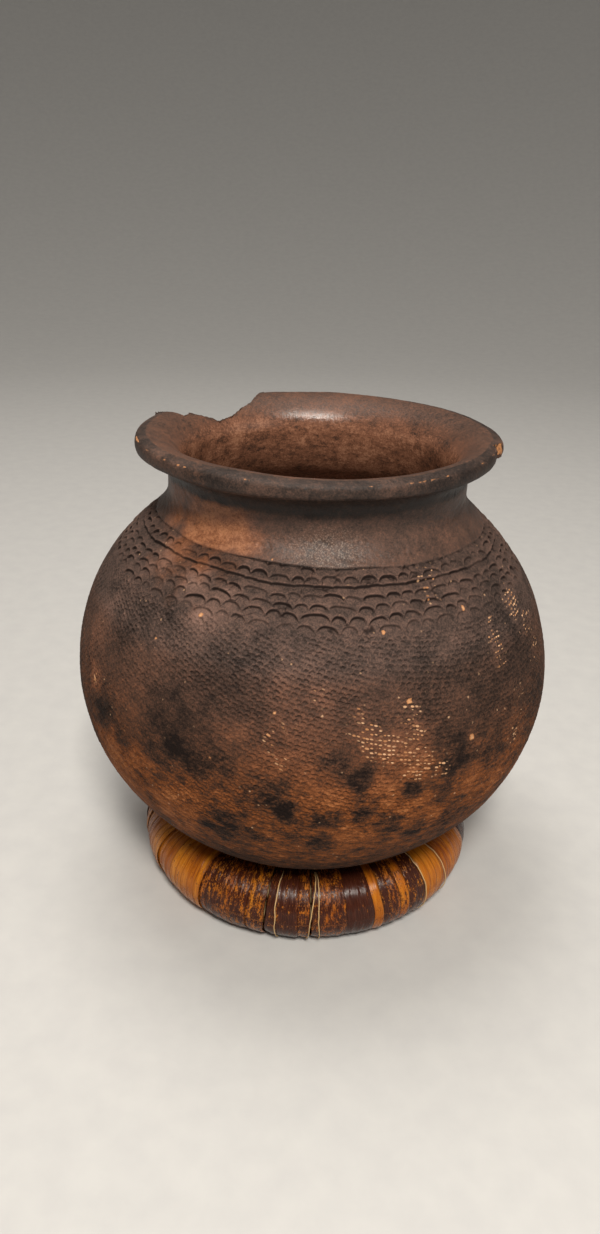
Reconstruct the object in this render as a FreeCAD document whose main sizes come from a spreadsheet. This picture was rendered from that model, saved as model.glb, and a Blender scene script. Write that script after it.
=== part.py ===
import FreeCAD, Part
import math
import os
import Sketcher

"""Round-bottomed, cord-marked clay pot standing in a ring stand wrapped with bark strips.

Frame: millimetres, +Z up. The origin is the centre of the plane that the ring stand rests on, on the
pot's axis. -Y is the front, and +X is on the right of somebody who looks at the front.
"""

doc = FreeCAD.newDocument("clay_pot_on_ring_stand")

# ----------------------------------------------------------------------------------------------
# Driving dimensions, in millimetres and degrees
# ----------------------------------------------------------------------------------------------

DIMENSIONS = [
    # The belly is an ellipsoid, a little flatter than a ball.
    ("belly_radius", 140.0, "largest outside radius of the belly"),
    ("belly_half_height", 124.3, "outside half height of the belly's ellipsoid"),
    ("belly_centre_height", 143.15, "height of the belly's widest level above the table"),
    ("belly_wall", 8.0, "thickness of the belly's wall"),
    # The neck is a wall of constant thickness that turns outward through a quarter circle.
    ("neck_radius", 84.0, "outside radius of the neck"),
    ("neck_wall", 8.9, "thickness of the neck and of the lip"),
    ("neck_root_height", 232.0, "where the neck's wall starts, inside the shoulder"),
    ("neck_turn_height", 260.0, "where the neck starts to turn outward"),
    ("neck_turn_radius", 12.6, "outside radius of the quarter turn under the lip"),
    ("neck_blend", 15.0, "hollow blend between shoulder and neck, outside"),
    ("throat_blend", 6.0, "rounding between the ceiling of the belly and the throat"),
    # Damage to the lip.
    ("bite_floor", 262.0, "height of the floor of the broken bite"),
    ("chip_floor", 275.5, "height of the floor of the small chip"),
    # The ring stand is a round tube, flattened where it rests on the table.
    ("ring_radius", 85.0, "radius of the ring's centre line"),
    ("ring_height", 20.0, "height of the ring's centre line above the table"),
    ("tube_radius", 20.7, "outside radius of the wrapped tube"),
    ("bark_thickness", 2.0, "thickness of a strip, two turns of bark"),
    ("strand_radius", 5.5, "radius of one twisted leaf strand"),
    ("strand_gap", 0.05, "clearance between neighbouring strands"),
    ("tie_radius", 0.85, "radius of a tie cord"),
    ("tie_gap", 0.1, "clearance between a tie cord and the strands in it"),
    ("fibre_radius", 0.5, "radius of a loose bast fibre"),
    ("fibre_depth", 0.8, "how far a bast fibre lies below the outside of the strips"),
    ("seam_angle", 0.2, "seam between two strips, seen from the ring's centre"),
    ("fibre_seam_angle", 1.3, "seam that holds a bast fibre"),
    ("first_strip_azimuth", -150.0, "where the first strip starts, at the front left"),
    # Widths of the bark strips, seen from the ring's centre.
    ("sliver_angle", 3.5, "thinnest strips"),
    ("narrow_angle", 6.5, "narrow strips"),
    ("middle_angle", 10.0, "middling strips"),
    ("broad_angle", 18.0, "broad strips"),
    ("whole_angle", 24.0, "strips as broad as the bark comes"),
]

# The strips in order, anticlockwise seen from above. "+fibre" means that a bast fibre lies in the
# seam that follows the strip.
STRIP_ORDER = """
    whole broad narrow+fibre middle sliver+fibre middle middle sliver narrow sliver narrow+fibre
    middle+fibre broad middle whole narrow broad sliver middle broad+fibre narrow whole middle sliver
    broad broad whole middle narrow broad
""".split()

OUTER_STRANDS = 6  # laid round one strand in the middle
TIE_COUNT = 6
FIRST_TIE_AZIMUTH = 15.0

# Broken edges of the lip seen from above, as (azimuth in degrees, radius as a share of the lip's).
BITE_OUTLINE = [
    (112, 1.10), (113, 0.97), (120, 0.87), (127, 0.82), (134, 0.80), (141, 0.785), (147, 0.82),
    (152, 0.86), (155, 0.845), (160, 0.90), (163, 1.10), (138, 1.22),
]
CHIP_OUTLINE = [
    (-17, 1.05), (-15, 0.975), (-11, 0.93), (-7, 0.945), (-4, 0.99), (-3, 1.05), (-10, 1.10),
]

sheet = doc.addObject("Spreadsheet::Sheet", "Sizes")


def add_dimension(row, alias, value, note):
    """Write one named number: column A holds its name, B its value and C what it means."""
    sheet.set(f"A{row}", alias)
    sheet.set(f"B{row}", str(value))
    sheet.set(f"C{row}", note)
    sheet.setAlias(f"B{row}", alias)


def size(alias):
    """The number that the sheet holds under this alias."""
    return float(sheet.get(alias))


for row, dimension in enumerate(DIMENSIONS, start=1):
    add_dimension(row, *dimension)
doc.recompute()

strips = [(entry.removesuffix("+fibre"), entry.endswith("+fibre")) for entry in STRIP_ORDER]
seam_total = sum(size("fibre_seam_angle") if fibre else size("seam_angle") for _, fibre in strips)
width_total = sum(size(f"{width}_angle") for width, _ in strips)
add_dimension(
    len(DIMENSIONS) + 1,
    "strip_share",
    (360.0 - seam_total) / width_total,
    "stretches all the strips alike, so that strips and seams fill the whole turn",
)
doc.recompute()

# ----------------------------------------------------------------------------------------------
# Helpers
# ----------------------------------------------------------------------------------------------

SKETCH_ORIGIN = (-1, 1)
HORIZONTAL_AXIS = -1
START, END, CENTRE = 1, 2, 3

pieces = []


def bind(item, **expressions):
    """Bind properties to expressions; a double underscore stands for the dot inside a property."""
    for name, expression in expressions.items():
        item.setExpression(name.replace("__", "."), expression)


def add_body(label):
    """A new PartDesign body, which becomes one piece."""
    body = doc.addObject("PartDesign::Body", label)
    body.Label = label
    pieces.append(body)
    return body


def add_sketch(body, name, role="XZ_Plane"):
    """A sketch on one of the body's own origin planes."""
    sketch = body.newObject("Sketcher::SketchObject", name)
    plane = next(item for item in body.Origin.OriginFeatures if item.Role == role)
    sketch.AttachmentSupport = [(plane, "")]
    sketch.MapMode = "FlatFace"
    return sketch


def relate(sketch, kind, *where):
    """Add a constraint that has no number."""
    sketch.addConstraint(Sketcher.Constraint(kind, *where))


def drive(sketch, kind, *where, by, now):
    """Add a constraint whose number comes from an expression; now is its value at the start."""
    index = sketch.addConstraint(Sketcher.Constraint(kind, *where, now))
    sketch.setExpression(f"Constraints[{index}]", by)


def add_revolution(body, sketch, name, angle="360"):
    """Turn a sketch about the body's vertical axis through an angle given as an expression."""
    turn = body.newObject("PartDesign::Revolution", name)
    turn.Profile = sketch
    turn.ReferenceAxis = (sketch, ["V_Axis"])
    turn.setExpression("Angle", angle)
    return turn


def add_torus(label, ring_radius, cord_radius):
    """A hoop, which becomes one piece; both radii are expressions."""
    torus = doc.addObject("Part::Torus", label)
    torus.Label = label
    bind(torus, Radius1=ring_radius, Radius2=cord_radius)
    pieces.append(torus)
    return torus


def polar(radius, azimuth, height=0.0):
    """The point at this distance from the pot's axis, in this direction, at this height."""
    angle = math.radians(azimuth)
    return FreeCAD.Vector(radius * math.cos(angle), radius * math.sin(angle), height)


def place_round_tube(torus, azimuth):
    """Stand a hoop upright round the ring's tube at this azimuth."""
    along = polar(1.0, azimuth + 90.0)
    centre = polar(size("ring_radius"), azimuth, size("ring_height"))
    torus.Placement = FreeCAD.Placement(centre, FreeCAD.Rotation(FreeCAD.Vector(0, 0, 1), along))
    bind(
        torus,
        Placement__Base__x=f"Sizes.ring_radius * cos({azimuth} deg)",
        Placement__Base__y=f"Sizes.ring_radius * sin({azimuth} deg)",
        Placement__Base__z="Sizes.ring_height",
    )


def edges_at(shape, radius, low, high):
    """Names of the circular edges round the pot's axis with this radius between two heights."""
    names = []
    for number, edge in enumerate(shape.Edges, start=1):
        box = edge.BoundBox
        round_here = abs(box.XMax - radius) < 0.01 and box.ZLength < 0.01
        if round_here and low < box.ZMax < high:
            names.append(f"Edge{number}")
    return names


# ----------------------------------------------------------------------------------------------
# Pot
# ----------------------------------------------------------------------------------------------


def add_ellipsoid(body, kind, name, half_height, radius):
    """An ellipsoid round the belly's centre; both sizes are expressions."""
    item = body.newObject(kind, name)
    bind(
        item,
        Radius1=half_height,
        Radius2=radius,
        Radius3=radius,
        Placement__Base__z="Sizes.belly_centre_height",
    )
    return item


def sketch_neck(body):
    """Section of the neck: upright wall, quarter turn outward, round lip."""
    outer = size("neck_radius")
    wall = size("neck_wall")
    inner = outer - wall
    low = size("neck_root_height")
    turn = size("neck_turn_height")
    bend = size("neck_turn_radius")
    middle = outer + bend
    centre = FreeCAD.Vector(middle, turn, 0)
    nose_centre = FreeCAD.Vector(middle, turn + bend + wall / 2, 0)
    normal = FreeCAD.Vector(0, 0, 1)
    quarter = math.pi / 2

    def line(x0, y0, x1, y1):
        return sketch.addGeometry(Part.LineSegment(FreeCAD.Vector(x0, y0, 0), FreeCAD.Vector(x1, y1, 0)))

    def arc(middle_point, radius, first, last):
        circle = Part.Circle(middle_point, normal, radius)
        return sketch.addGeometry(Part.ArcOfCircle(circle, first, last))

    sketch = add_sketch(body, "neck_section")
    throat = line(inner, low, inner, turn)
    flare = arc(centre, bend + wall, quarter, 2 * quarter)
    nose = arc(nose_centre, wall / 2, -quarter, quarter)
    undercut = arc(centre, bend, quarter, 2 * quarter)
    outside = line(outer, turn, outer, low)
    root = line(outer, low, inner, low)

    relate(sketch, "Tangent", throat, END, flare, END)
    relate(sketch, "Tangent", flare, START, nose, END)
    relate(sketch, "Tangent", nose, START, undercut, START)
    relate(sketch, "Tangent", undercut, END, outside, START)
    relate(sketch, "Coincident", outside, END, root, START)
    relate(sketch, "Coincident", root, END, throat, START)
    relate(sketch, "Coincident", flare, CENTRE, undercut, CENTRE)
    relate(sketch, "Vertical", throat)
    relate(sketch, "Horizontal", root)
    relate(sketch, "Vertical", nose, CENTRE, undercut, CENTRE)
    drive(sketch, "DistanceX", *SKETCH_ORIGIN, outside, START, by="Sizes.neck_radius", now=outer)
    drive(sketch, "DistanceX", root, END, root, START, by="Sizes.neck_wall", now=wall)
    drive(sketch, "DistanceY", *SKETCH_ORIGIN, root, START, by="Sizes.neck_root_height", now=low)
    drive(sketch, "DistanceY", *SKETCH_ORIGIN, undercut, CENTRE, by="Sizes.neck_turn_height", now=turn)
    drive(sketch, "Radius", undercut, by="Sizes.neck_turn_radius", now=bend)
    return sketch


def break_lip(body, name, outline, floor):
    """Remove the clay above a floor height inside an outline seen from above."""
    lip = size("neck_radius") + size("neck_turn_radius") + size("neck_wall") / 2
    corners = [polar(share * lip, azimuth) for azimuth, share in outline]
    sketch = add_sketch(body, f"{name}_outline", "XY_Plane")
    bind(sketch, AttachmentOffset__Base__z=floor)
    for here, after in zip(corners, corners[1:] + corners[:1]):
        sketch.addGeometry(Part.LineSegment(here, after))
    for index in range(len(corners)):
        relate(sketch, "Coincident", index, END, (index + 1) % len(corners), START)
    cut = body.newObject("PartDesign::Pocket", name)
    cut.Profile = sketch
    cut.Reversed = True
    bind(cut, Length="2 * Sizes.neck_wall + 2 * Sizes.neck_turn_radius")
    return cut


def fillet(body, name, radius, edge_radius, low, high):
    """Round the circular edges of the body's last feature that lie in this band."""
    doc.recompute()
    base = body.Tip
    item = body.newObject("PartDesign::Fillet", name)
    item.Base = (base, edges_at(base.Shape, edge_radius, low, high))
    bind(item, Radius=radius)
    return item


def make_pot():
    """One fired piece: belly, neck and flared lip, hollow, with a broken bite and a chip."""
    body = add_body("pot")
    belly_top = size("belly_centre_height") + size("belly_half_height")
    add_ellipsoid(
        body, "PartDesign::AdditiveEllipsoid", "belly", "Sizes.belly_half_height", "Sizes.belly_radius"
    )
    add_revolution(body, sketch_neck(body), "neck_and_lip")
    add_ellipsoid(
        body,
        "PartDesign::SubtractiveEllipsoid",
        "belly_hollow",
        "Sizes.belly_half_height - Sizes.belly_wall",
        "Sizes.belly_radius - Sizes.belly_wall",
    )
    throat = body.newObject("PartDesign::SubtractiveCylinder", "throat")
    bind(
        throat,
        Radius="Sizes.neck_radius - Sizes.neck_wall",
        Height="Sizes.belly_half_height + Sizes.neck_wall",
        Placement__Base__z="Sizes.belly_centre_height",
    )
    inner_radius = size("neck_radius") - size("neck_wall")
    turn = size("neck_turn_height")
    low = size("neck_root_height")
    fillet(body, "shoulder_blend", "Sizes.neck_blend", size("neck_radius"), low, turn - 1)
    fillet(body, "throat_rounding", "Sizes.throat_blend", inner_radius, low, turn - 1)
    break_lip(body, "broken_bite", BITE_OUTLINE, "Sizes.bite_floor")
    break_lip(body, "chip", CHIP_OUTLINE, "Sizes.chip_floor")
    doc.recompute()
    assert body.Shape.BoundBox.ZMax > belly_top, "the neck must rise above the belly"
    return body


# ----------------------------------------------------------------------------------------------
# Ring stand
# ----------------------------------------------------------------------------------------------


def sketch_sleeve(body):
    """Section of a wrapped strip: a round sleeve with a flat where it rests on the table."""
    centre = FreeCAD.Vector(size("ring_radius"), size("ring_height"), 0)
    normal = FreeCAD.Vector(0, 0, 1)
    outer_radius = size("tube_radius")
    inner_radius = outer_radius - size("bark_thickness")
    half_flat = math.acos(size("ring_height") / outer_radius)
    first = -math.pi / 2 + half_flat
    last = 3 * math.pi / 2 - half_flat

    sketch = add_sketch(body, "sleeve_section")
    outside = sketch.addGeometry(Part.ArcOfCircle(Part.Circle(centre, normal, outer_radius), first, last))
    foot = sketch.addGeometry(
        Part.LineSegment(
            centre + FreeCAD.Vector(outer_radius * math.cos(last), outer_radius * math.sin(last), 0),
            centre + FreeCAD.Vector(outer_radius * math.cos(first), outer_radius * math.sin(first), 0),
        )
    )
    inside = sketch.addGeometry(Part.Circle(centre, normal, inner_radius))
    relate(sketch, "Coincident", outside, END, foot, START)
    relate(sketch, "Coincident", foot, END, outside, START)
    relate(sketch, "Coincident", inside, CENTRE, outside, CENTRE)
    relate(sketch, "PointOnObject", foot, START, HORIZONTAL_AXIS)
    relate(sketch, "PointOnObject", foot, END, HORIZONTAL_AXIS)
    drive(sketch, "DistanceX", *SKETCH_ORIGIN, outside, CENTRE, by="Sizes.ring_radius", now=centre.x)
    drive(sketch, "DistanceY", *SKETCH_ORIGIN, outside, CENTRE, by="Sizes.ring_height", now=centre.y)
    drive(sketch, "Radius", outside, by="Sizes.tube_radius", now=outer_radius)
    drive(sketch, "Radius", inside, by="Sizes.tube_radius - Sizes.bark_thickness", now=inner_radius)
    return sketch


def make_strip(number, width, azimuth):
    """A strip of bark wound round the bundle, as a sleeve that starts at this azimuth."""
    body = add_body(f"wrap_strip_{number:02d}")
    add_revolution(
        body, sketch_sleeve(body), f"sleeve_{number:02d}", f"Sizes.{width}_angle * Sizes.strip_share"
    )
    turn = FreeCAD.Rotation(FreeCAD.Vector(0, 0, 1), azimuth)
    body.Placement = FreeCAD.Placement(FreeCAD.Vector(), turn)
    return body


def make_fibre(number, azimuth):
    """A loose bast fibre in the seam between two strips."""
    fibre = add_torus(
        f"bast_fibre_{number}",
        "Sizes.tube_radius - Sizes.fibre_depth - Sizes.fibre_radius",
        "Sizes.fibre_radius",
    )
    place_round_tube(fibre, azimuth)


def make_wrapping():
    """All the strips and the fibres in their seams, anticlockwise from the front left."""
    azimuth = size("first_strip_azimuth")
    fibre_count = 0
    for number, (width, fibre) in enumerate(strips, start=1):
        make_strip(number, width, azimuth)
        azimuth += size(f"{width}_angle") * size("strip_share")
        seam = size("fibre_seam_angle") if fibre else size("seam_angle")
        if fibre:
            fibre_count += 1
            make_fibre(fibre_count, round(azimuth + seam / 2, 3))
        azimuth += seam


def make_core():
    """Seven hoops of twisted leaf, one in the middle and six round it, and the ties that hold them."""
    pitch = "(2 * Sizes.strand_radius + Sizes.strand_gap)"
    middle = add_torus("core_strand_1", "Sizes.ring_radius", "Sizes.strand_radius")
    bind(middle, Placement__Base__z="Sizes.ring_height")
    for index in range(OUTER_STRANDS):
        around = 360.0 / OUTER_STRANDS * index
        strand = add_torus(
            f"core_strand_{index + 2}",
            f"Sizes.ring_radius + {pitch} * cos({around} deg)",
            "Sizes.strand_radius",
        )
        bind(strand, Placement__Base__z=f"Sizes.ring_height + {pitch} * sin({around} deg)")
    for index in range(TIE_COUNT):
        tie = add_torus(
            f"core_tie_{index + 1}",
            "3 * Sizes.strand_radius + Sizes.strand_gap + Sizes.tie_gap + Sizes.tie_radius",
            "Sizes.tie_radius",
        )
        place_round_tube(tie, FIRST_TIE_AZIMUTH + 360.0 / TIE_COUNT * index)


# ----------------------------------------------------------------------------------------------
# Build, check and write
# ----------------------------------------------------------------------------------------------


def check_document():
    """Stop if any object failed or any piece isn't one sound solid."""
    for item in doc.Objects:
        failed = {"Invalid", "Error"} & set(item.State)
        if failed:
            raise RuntimeError(f"{item.Label} is {item.State}")
    for piece in pieces:
        shape = piece.Shape
        if shape.isNull() or not shape.isValid() or len(shape.Solids) != 1:
            raise RuntimeError(f"{piece.Label} isn't one valid solid")


def check_seat():
    """The belly must sit just clear of the strips it rests on."""
    pot = pieces[0].Shape
    nearest = min(pot.distToShape(piece.Shape)[0] for piece in pieces if piece.Label.startswith("wrap"))
    if not 0.01 < nearest < 0.3:
        raise RuntimeError(f"the pot's belly is {nearest:.3f} mm from the ring stand")


make_pot()
make_wrapping()
make_core()
doc.recompute()
check_document()
check_seat()

os.makedirs("parts", exist_ok=True)
for piece in pieces:
    piece.Shape.exportStep(f"parts/{piece.Label}.step")
print(f"{len(pieces)} pieces written")
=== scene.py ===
"""Looks of a cord-marked clay pot that stands in a ring stand wrapped with strips of bark.

Lengths are in millimetres until a mesh is made, and azimuths in degrees: 0 is +X, the right of somebody
who looks at the front, and -90 is -Y, the front.
"""

import itertools
import math
from types import SimpleNamespace

import bpy
import numpy as np
from mathutils import Euler, Matrix, Vector


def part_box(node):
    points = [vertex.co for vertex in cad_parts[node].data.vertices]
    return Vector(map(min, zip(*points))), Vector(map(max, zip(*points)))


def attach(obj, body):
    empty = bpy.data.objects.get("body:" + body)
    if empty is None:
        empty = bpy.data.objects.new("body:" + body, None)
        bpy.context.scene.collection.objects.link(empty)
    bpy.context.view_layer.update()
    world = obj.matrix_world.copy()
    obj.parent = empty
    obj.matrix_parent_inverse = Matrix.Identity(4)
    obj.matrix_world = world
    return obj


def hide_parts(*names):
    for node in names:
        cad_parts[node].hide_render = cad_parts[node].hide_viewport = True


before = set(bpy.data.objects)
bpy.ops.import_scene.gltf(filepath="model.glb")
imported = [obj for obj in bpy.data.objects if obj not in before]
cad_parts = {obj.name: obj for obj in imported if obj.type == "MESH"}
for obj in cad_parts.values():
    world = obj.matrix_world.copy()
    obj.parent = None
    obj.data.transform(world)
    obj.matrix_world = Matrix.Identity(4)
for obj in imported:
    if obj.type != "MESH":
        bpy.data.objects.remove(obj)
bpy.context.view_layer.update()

MM = 0.001


def box_of(node):
    """Lowest and highest corner of a CAD node, in millimetres."""
    return [np.array(corner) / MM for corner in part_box(node)]


# ---- Sizes, in millimetres ----

pot_low, pot_high = box_of("pot")

BELLY_RADIUS = (pot_high[0] - pot_low[0]) / 2
BELLY_HALF_HEIGHT = 124.3
BELLY_CENTRE = pot_low[2] + BELLY_HALF_HEIGHT
BELLY_WALL = 8.0

NECK_RADIUS = 84.0
NECK_WALL = 8.9
TURN_RADIUS = 12.6
TURN_LEVEL = pot_high[2] - TURN_RADIUS - NECK_WALL  # where the neck starts to turn outward
TURN_MIDDLE = NECK_RADIUS + TURN_RADIUS
LIP_MIDLINE = TURN_RADIUS + NECK_WALL / 2

BAND_TOP = 236.3  # height of the line where the smooth neck ends
BAND_TILT = 2.2  # the line dips to the right by this much
BAND_DEPTH = 33.5  # width of the band of scales, measured down the shoulder
SCALE_WIDTH = 9.6
SCALE_REACH = 105.0  # distance from the pot's axis at which the scales have that width
SCALE_PITCH = 5.0
SCALE_DEPTH = 1.5
SCALE_RIDGE = 0.45
WRINKLE_DEPTH = 0.35
CORD_WIDTH = 3.4
CORD_REACH = 130.0  # distance from the pot's axis at which the cord marks have that width
CORD_PITCH = 2.5
CORD_DEPTH = 0.85
CORD_RIDGE = 0.15
FLECK_WIDTH = 2.2
FLECK_PITCH = 2.3
CORD_SLOPE = 58.0  # how far the rows of cord marks drop in a radian, where they are steepest
CORD_LOWEST = -45.0  # azimuth at which the rows of cord marks are lowest
SCRATCH_DEPTH = 0.20
PIT_DEPTH = 0.18
GRIT_DEPTH = 0.06
MIDDLE = -86.0  # azimuth in the middle of the photo's view

RING_RADIUS = 85.0
RING_HEIGHT = 20.0
TUBE_RADIUS = 20.7
TIE_RADIUS = 0.85
FIBRE_RADIUS = 0.33
FIBRE_REACH = TUBE_RADIUS + 0.88  # distance from the tube's centre line to the middle of a fibre
FLAT_LEVEL = 0.5  # the ring's underside is pressed flat below this height
STRAND_COUNT = 7
TIE_COUNT = 6
LEAF_WIDTH = 5.5  # spacing of the faint steps inside a strip, where one narrow leaf ends on the next
STRIP_TUCK = 0.35  # how far a strip's first edge goes under the strip before it
STRIP_LAP = 1.1  # how far its last edge goes over the strip after it

POT_COLUMNS = 1200  # points round the pot
FINE_STEP = 0.55  # distance between rows of points where the clay is marked
STRIP_STATIONS = 150  # rows of points round the tube
STRIP_STEP = 0.5  # distance between points across a strip
STRIP_GAP = 0.08  # clearance between a strip and the pot's belly
FIBRE_GAP = 0.3  # clearance between the middle of a fibre and the belly

# The camera, fitted to the photo's outline: lengths in belly radii, angles in radians.
CAMERA_LENS = 27.04
CAMERA_DISTANCE = 3.6392
CAMERA_RISE = 1.8976  # above the belly's centre
CAMERA_PAN = -0.015
CAMERA_TIP = 0.4457
CAMERA_ROLL = 0.030

# ---- Noise ----

# Turned, so that no plane of a noise's cells lies flat on the neck, where it would show as a rosette.
NOISE_TURN = (0.5, 0.4, 0.3)


def random_cell(*cells, seed=0):
    """A repeatable random number from 0 to 1 for each cell of whole numbers."""
    mixed = np.full(np.broadcast(*cells).shape, 2166136261 + 977 * seed, np.uint32)
    for cell in cells:
        mixed = (mixed ^ np.asarray(cell).astype(np.int64).astype(np.uint32)) * np.uint32(0x9E3779B1)
        mixed ^= mixed >> np.uint32(15)
    mixed = mixed * np.uint32(0x85EBCA6B)
    mixed ^= mixed >> np.uint32(13)
    return (mixed & np.uint32(0xFFFFFF)) / float(0xFFFFFF)


def noise(points, size, seed):
    """Smooth noise from -1 to 1 whose lumps have this size; points end with x, y, z."""
    scaled = np.asarray(points) @ np.array(Euler(NOISE_TURN).to_matrix()) / size
    cell = np.floor(scaled).astype(np.int64)
    part = scaled - cell
    part = part * part * (3 - 2 * part)
    total = np.zeros(scaled.shape[:-1])
    for corner in itertools.product((0, 1), repeat=3):
        weight = np.ones(scaled.shape[:-1])
        for axis, side in enumerate(corner):
            weight = weight * (part[..., axis] if side else 1 - part[..., axis])
        total += weight * random_cell(*(cell[..., k] + corner[k] for k in range(3)), seed=seed)
    return 2 * total - 1


def cloud(points, size, seed, octaves=3):
    """Noise with finer noise on top, each octave half the size and half as strong."""
    points = np.asarray(points)
    layers = [noise(points, size / 2**k, seed + k) / 2**k for k in range(octaves)]
    return sum(layers) / 1.3


def smoothstep(low, high, value):
    """0 below low, 1 above high, smooth between; low may be above high."""
    share = np.clip((value - low) / (high - low), 0, 1)
    return share * share * (3 - 2 * share)


def between(first, second, share):
    """first where share is 0, second where it is 1."""
    return first * (1 - share) + second * share


def full_turn(count):
    """Angles in radians, evenly spread over a whole turn."""
    return np.linspace(0, 2 * math.pi, count, endpoint=False)


# ---- Meshes ----


def signed_volume(points, quads):
    """Volume inside a closed surface, negative when its faces point inward."""
    a, b, c, d = (points[quads[:, k]] for k in range(4))
    first = np.einsum("ij,ij->i", a, np.cross(b, c))
    second = np.einsum("ij,ij->i", a, np.cross(c, d))
    return (first.sum() + second.sum()) / 6


def grid_quads(rows, columns, rows_closed, marks):
    """Corners and texture coordinates of the cells of a grid."""
    lower = np.arange(rows if rows_closed else rows - 1)
    left = np.arange(columns)
    upper = (lower + 1) % rows
    right = (left + 1) % columns
    pairs = (lower, left), (lower, right), (upper, right), (upper, left)
    quads = np.stack([(row[:, None] * columns + column).reshape(-1) for row, column in pairs], 1)
    u = np.tile(left / columns, len(lower))[:, None] + np.array([0, 1, 1, 0]) / columns
    v = np.stack([np.repeat(marks[lower + side], columns) for side in (0, 0, 1, 1)], 1)
    return quads, np.stack([u, v], 2)


def pole_fan(pole, row, columns, mark):
    """Corners and texture coordinates of the triangles between a pole and a row of a grid."""
    left = np.arange(columns)
    right = (left + 1) % columns
    fan = np.stack([np.full(columns, pole), row * columns + left, row * columns + right], 1)
    turns = np.stack([left + 0.5, left, left + 1], 1) / columns
    return fan, np.stack([turns, np.full(turns.shape, mark)], 2)


def add_attribute(mesh, name, values, with_poles):
    """Store a number or a vector for each point of a grid; a pole takes the mean of its row."""
    values = np.asarray(values, float)
    kind, field = ("FLOAT_VECTOR", "vector") if values.ndim == 3 else ("FLOAT", "value")
    parts = [values, values[:1].mean(1), values[-1:].mean(1)] if with_poles else [values]
    flat = np.concatenate([part.reshape(-1) for part in parts])
    mesh.attributes.new(name, kind, "POINT").data.foreach_set(field, flat)


def add_object(name, data):
    """A new object in the scene."""
    item = bpy.data.objects.new(name, data)
    bpy.context.scene.collection.objects.link(item)
    return item


def grid_object(name, grid, material, rows_closed=True, row_marks=None, **attributes):
    """A closed mesh from a grid of points in millimetres, rows by columns by 3.

    Each row is a closed loop. The rows either join up as well, or end in a pole at both ends.
    """
    rows, columns = grid.shape[:2]
    points = grid.reshape(-1, 3) * MM
    marks = np.linspace(0, 1, rows + 1 if rows_closed else rows) if row_marks is None else row_marks
    quads, uv = grid_quads(rows, columns, rows_closed, marks)
    inside_out = signed_volume(points, quads) < 0
    sheets = [(quads, uv, inside_out)]
    if not rows_closed:
        sheets.append((*pole_fan(len(points), 0, columns, marks[0]), not inside_out))
        sheets.append((*pole_fan(len(points) + 1, rows - 1, columns, marks[-1]), inside_out))
        points = np.concatenate([points, grid[:1].mean(1) * MM, grid[-1:].mean(1) * MM])
    ways = [-1 if turned_over else 1 for _, _, turned_over in sheets]
    loops = np.concatenate([faces[:, ::way].reshape(-1) for (faces, _, _), way in zip(sheets, ways)])
    loop_uv = np.concatenate([uv[:, ::way].reshape(-1) for (_, uv, _), way in zip(sheets, ways)])
    sizes = np.concatenate([np.full(len(faces), faces.shape[1]) for faces, _, _ in sheets])

    mesh = bpy.data.meshes.new(name)
    mesh.vertices.add(len(points))
    mesh.vertices.foreach_set("co", points.reshape(-1))
    mesh.loops.add(len(loops))
    mesh.loops.foreach_set("vertex_index", loops.astype(np.int32))
    mesh.polygons.add(len(sizes))
    mesh.polygons.foreach_set("loop_start", (np.cumsum(sizes) - sizes).astype(np.int32))
    layer = mesh.uv_layers.new(name="OFBake")
    mesh.update(calc_edges=True)
    layer.data.foreach_set("uv", loop_uv)
    for key, values in attributes.items():
        add_attribute(mesh, key, values, not rows_closed)
    mesh.validate()
    mesh.shade_smooth()
    mesh.materials.append(material)
    return add_object(name, mesh)


def add_piece(item, body, node):
    """Put a finished piece in place of its CAD node."""
    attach(item, body)
    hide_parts(node)


# ---- Outline of the pot ----


def ellipse_arc(radius, half_height, start, end, count=400):
    """Part of the belly's section; angles count from the bottom of the pot, in radians."""
    angle = np.linspace(start, end, count)
    return np.stack([radius * np.sin(angle), BELLY_CENTRE - half_height * np.cos(angle)], 1)


def turn_arc(radius, start, end, count=120):
    """Part of the neck's quarter turn; 0 is where the wall is upright, 90 where it is level."""
    angle = np.radians(np.linspace(start, end, count))
    return np.stack([TURN_MIDDLE - radius * np.cos(angle), TURN_LEVEL + radius * np.sin(angle)], 1)


def bezier(p0, p1, p2, p3, count=80):
    """A cubic curve through p0 and p3."""
    t = np.linspace(0, 1, count)[:, None]
    return (1 - t) ** 3 * p0 + 3 * (1 - t) ** 2 * t * p1 + 3 * (1 - t) * t**2 * p2 + t**3 * p3


def rounded(corners, passes=3):
    """A broken line with its corners cut off again and again, ends kept."""
    line = np.array(corners, float)
    for _ in range(passes):
        quarter = 0.75 * line[:-1] + 0.25 * line[1:]
        three = 0.25 * line[:-1] + 0.75 * line[1:]
        middle = np.stack([quarter, three], 1).reshape(-1, 2)
        line = np.concatenate([line[:1], middle, line[-1:]])
    return line


def resample(curve, step):
    """Points along a curve about one step apart, without the last one."""
    lengths = np.concatenate([[0], np.cumsum(np.linalg.norm(np.diff(curve, axis=0), axis=1))])
    count = max(2, int(round(lengths[-1] / step)))
    at = np.linspace(0, lengths[-1], count, endpoint=False)
    return np.stack([np.interp(at, lengths, curve[:, k]) for k in range(2)], 1)


def unit(vector):
    """The vector at length 1."""
    return np.array(vector, float) / np.linalg.norm(vector)


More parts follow.
